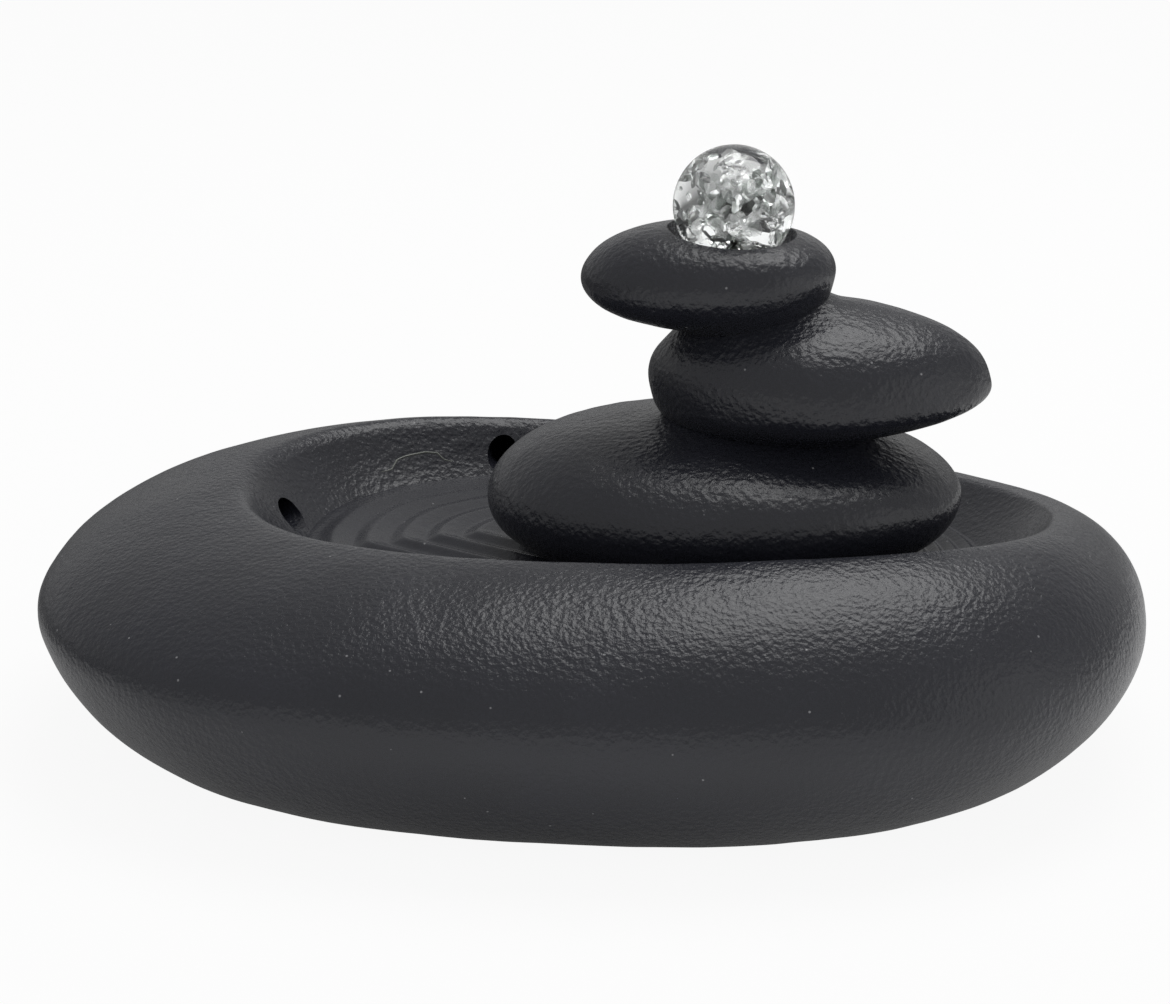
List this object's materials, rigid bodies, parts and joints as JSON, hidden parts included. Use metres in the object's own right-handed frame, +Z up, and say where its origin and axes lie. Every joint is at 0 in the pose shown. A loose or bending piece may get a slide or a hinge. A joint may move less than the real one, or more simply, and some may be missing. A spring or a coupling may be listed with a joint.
{
  "type": "tabletop water fountain",
  "caption": "Oval pebble-shaped table fountain: a raked pool in a deep bowl, a stack of balanced stones over a hidden pump, and a lit glass ball on top.",
  "frame": {"origin": "centre of the bounding box at the bottom face of the foot pads", "axes": "+X along the bowl's long axis towards the end that the stones stand near, +Y to the back where the power socket is, +Z up"},
  "size_m": [0.279, 0.207, 0.15],
  "materials": {
    "cast_resin_bowl": "matte charcoal cast stone resin, faintly hammered",
    "cast_resin_stone": "matte charcoal cast stone resin, leathery",
    "base_plastic": "matte moulded",
    "seal_rubber": "soft matte",
    "pad_rubber": "soft matte",
    "dowel_steel": "ground pin",
    "crackle_glass": "clear shell over a shattered core",
    "clear_acrylic": "clear moulded",
    "riser_plastic": "translucent tube",
    "black_plastic": "satin moulded",
    "potting_resin": "smooth poured",
    "circuit_board": "solder mask",
    "emitter_resin": "smooth",
    "cable_jacket": "soft matte",
    "pump_plastic": "matte moulded",
    "core_steel": "stacked sheet",
    "coil_copper": "enamelled wire",
    "shaft_ceramic": "polished",
    "magnet_ferrite": "ground",
    "impeller_plastic": "matte moulded",
    "slider_plastic": "matte moulded",
    "nut_plastic": "matte moulded",
    "pin_brass": "bright"
  },
  "bodies": {
    "base": {"basin_casting": "cast_resin_bowl", "base_plate": "base_plastic", "base_seal": "seal_rubber", "foot_pad_a": "pad_rubber", "foot_pad_b": "pad_rubber", "foot_pad_c": "pad_rubber", "foot_pad_d": "pad_rubber", "led_socket": "black_plastic", "pump_housing": "pump_plastic", "pump_back_cover": "pump_plastic", "driver_board": "circuit_board", "stator_core": "core_steel", "stator_coil": "coil_copper", "pump_shaft": "shaft_ceramic", "cover_seal": "seal_rubber", "suction_foot_a": "pad_rubber", "suction_foot_b": "pad_rubber", "suction_foot_c": "pad_rubber", "suction_foot_d": "pad_rubber", "pump_lead": "cable_jacket", "power_inlet": "black_plastic", "inlet_pin": "pin_brass", "inlet_washer": "seal_rubber", "inlet_nut": "nut_plastic"},
    "stack": {"stone_lower": "cast_resin_stone", "stone_middle": "cast_resin_stone", "stone_upper": "cast_resin_stone", "dowel_lower": "dowel_steel", "dowel_upper": "dowel_steel", "ball_seat": "clear_acrylic", "riser_tube": "riser_plastic", "riser_grommet": "seal_rubber", "led_housing": "black_plastic", "led_potting": "potting_resin", "led_board": "circuit_board", "led_lens": "clear_acrylic", "led_emitter_a": "emitter_resin", "led_emitter_b": "emitter_resin", "led_emitter_c": "emitter_resin", "led_lead": "cable_jacket", "led_plug": "black_plastic"},
    "ball": {"glass_ball": "crackle_glass"},
    "rotor": {"rotor_magnet": "magnet_ferrite", "impeller": "impeller_plastic"},
    "cover": {"volute_cover": "pump_plastic", "front_bush": "seal_rubber"},
    "slider": {"flow_slider": "slider_plastic"}
  },
  "joints": [
    {"name": "stack_lift", "type": "slide", "parent": "base", "child": "stack", "axis": [0, 0, 1], "range_m": [0, 0.09]},
    {"name": "ball_spin", "type": "hinge", "parent": "stack", "child": "ball", "pos_m": [0.0342, 0.008, 0.135], "axis": [0, 0, 1], "continuous": true},
    {"name": "impeller_spin", "type": "hinge", "parent": "base", "child": "rotor", "pos_m": [0.0272, 0.008, 0.0205], "axis": [1, 0, 0], "continuous": true},
    {"name": "cover_pull", "type": "slide", "parent": "base", "child": "cover", "axis": [1, 0, 0], "range_m": [0, 0.012]},
    {"name": "flow_adjust", "type": "slide", "parent": "cover", "child": "slider", "axis": [0, 1, 0], "range_m": [0, 0.003]}
  ]
}
